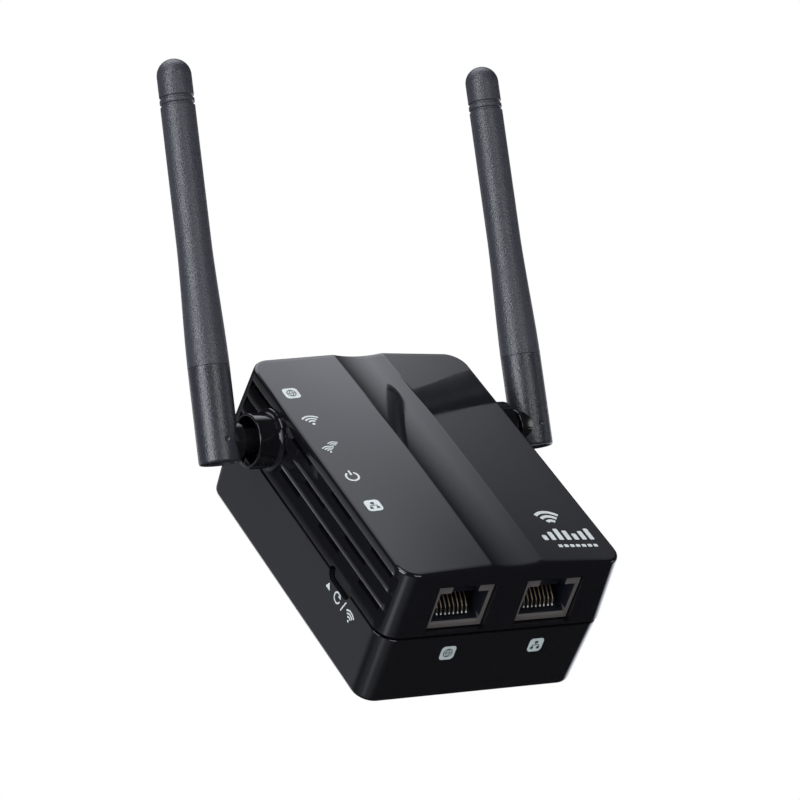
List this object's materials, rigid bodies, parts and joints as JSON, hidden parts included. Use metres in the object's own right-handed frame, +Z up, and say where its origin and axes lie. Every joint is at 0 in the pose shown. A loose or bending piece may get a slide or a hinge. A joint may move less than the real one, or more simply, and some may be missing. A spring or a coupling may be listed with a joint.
{
  "type": "wifi range extender",
  "caption": "Wall-plug wifi range extender with side vents, network sockets along the lower edge, a side reset button and swivelling rod antennas.",
  "frame": {"origin": "midway between the two plug blades, on the flat rear face that lies against the wall", "axes": "+Y into the wall along the plug blades, +Z up the wall away from the network sockets, +X to the right as seen from the room"},
  "size_m": [0.0876, 0.0994, 0.1189],
  "materials": {
    "cover_gloss": "mirror gloss",
    "case_gloss": "gloss",
    "moulded_cream": "moulded",
    "blade_metal": "plated brass",
    "board_green": "solder mask",
    "board_brown": "paper laminate",
    "jack_plastic": "semi-gloss moulded",
    "contact_gold": "gold plated",
    "clear_plastic": "clear",
    "button_black": "satin",
    "chip_black": "moulded",
    "tinned_steel": "tinned",
    "ferrite": "sintered",
    "winding_tape": "polyester tape",
    "capacitor_sleeve": "shrink sleeve",
    "resistor_body": "lacquered",
    "ceramic_blue": "dipped",
    "led_lens": "clear resin",
    "screw_steel": "zinc plated",
    "antenna_base": "satin gloss",
    "antenna_sleeve": "fine matte texture",
    "coax_jacket": "extruded"
  },
  "bodies": {
    "housing": {"front_cover": "cover_gloss", "rear_case": "case_gloss", "blade_holder": "moulded_cream", "plug_blade_left": "blade_metal", "plug_blade_right": "blade_metal", "main_board": "board_green", "power_board": "board_brown", "ethernet_jack_left": "jack_plastic", "ethernet_jack_right": "jack_plastic", "jack_contacts_left": "contact_gold", "jack_contacts_right": "contact_gold", "light_guide": "clear_plastic", "reset_switch": "chip_black", "shield_can": "tinned_steel", "processor": "chip_black", "memory_chip": "chip_black", "crystal": "tinned_steel", "line_transformer": "chip_black", "transformer_core": "ferrite", "transformer_winding": "winding_tape", "input_capacitor": "capacitor_sleeve", "output_capacitor": "capacitor_sleeve", "bridge_rectifier": "chip_black", "power_controller": "chip_black", "fuse_resistor": "resistor_body", "safety_capacitor": "ceramic_blue", "board_link_header": "chip_black", "status_led_1": "led_lens", "status_led_2": "led_lens", "status_led_3": "led_lens", "status_led_4": "led_lens", "status_led_5": "led_lens", "case_screw_1": "screw_steel", "board_screw_1": "screw_steel", "case_screw_2": "screw_steel", "board_screw_2": "screw_steel", "case_screw_3": "screw_steel", "board_screw_3": "screw_steel", "case_screw_4": "screw_steel", "board_screw_4": "screw_steel", "left_board_lead": "coax_jacket", "right_board_lead": "coax_jacket"},
    "left_antenna": {"left_antenna_base": "antenna_base", "left_antenna_sleeve": "antenna_sleeve", "left_antenna_radiator": "contact_gold", "left_antenna_clip": "screw_steel", "left_antenna_lead": "coax_jacket"},
    "right_antenna": {"right_antenna_base": "antenna_base", "right_antenna_sleeve": "antenna_sleeve", "right_antenna_radiator": "contact_gold", "right_antenna_clip": "screw_steel", "right_antenna_lead": "coax_jacket"},
    "reset_button": {"reset_button": "button_black", "switch_plunger": "moulded_cream"}
  },
  "joints": [
    {"name": "left_antenna_swivel", "type": "hinge", "parent": "housing", "child": "left_antenna", "pos_m": [-0.0394, -0.0244, 0.0204], "axis": [1, 0, 0], "range_deg": [-44, 136]},
    {"name": "right_antenna_swivel", "type": "hinge", "parent": "housing", "child": "right_antenna", "pos_m": [0.0394, -0.0244, 0.0204], "axis": [1, 0, 0], "range_deg": [-43, 137]},
    {"name": "reset_button_press", "type": "slide", "parent": "housing", "child": "reset_button", "axis": [1, 0, 0], "range_m": [0, 0.0005], "stiffness_N_per_m": 1000}
  ]
}
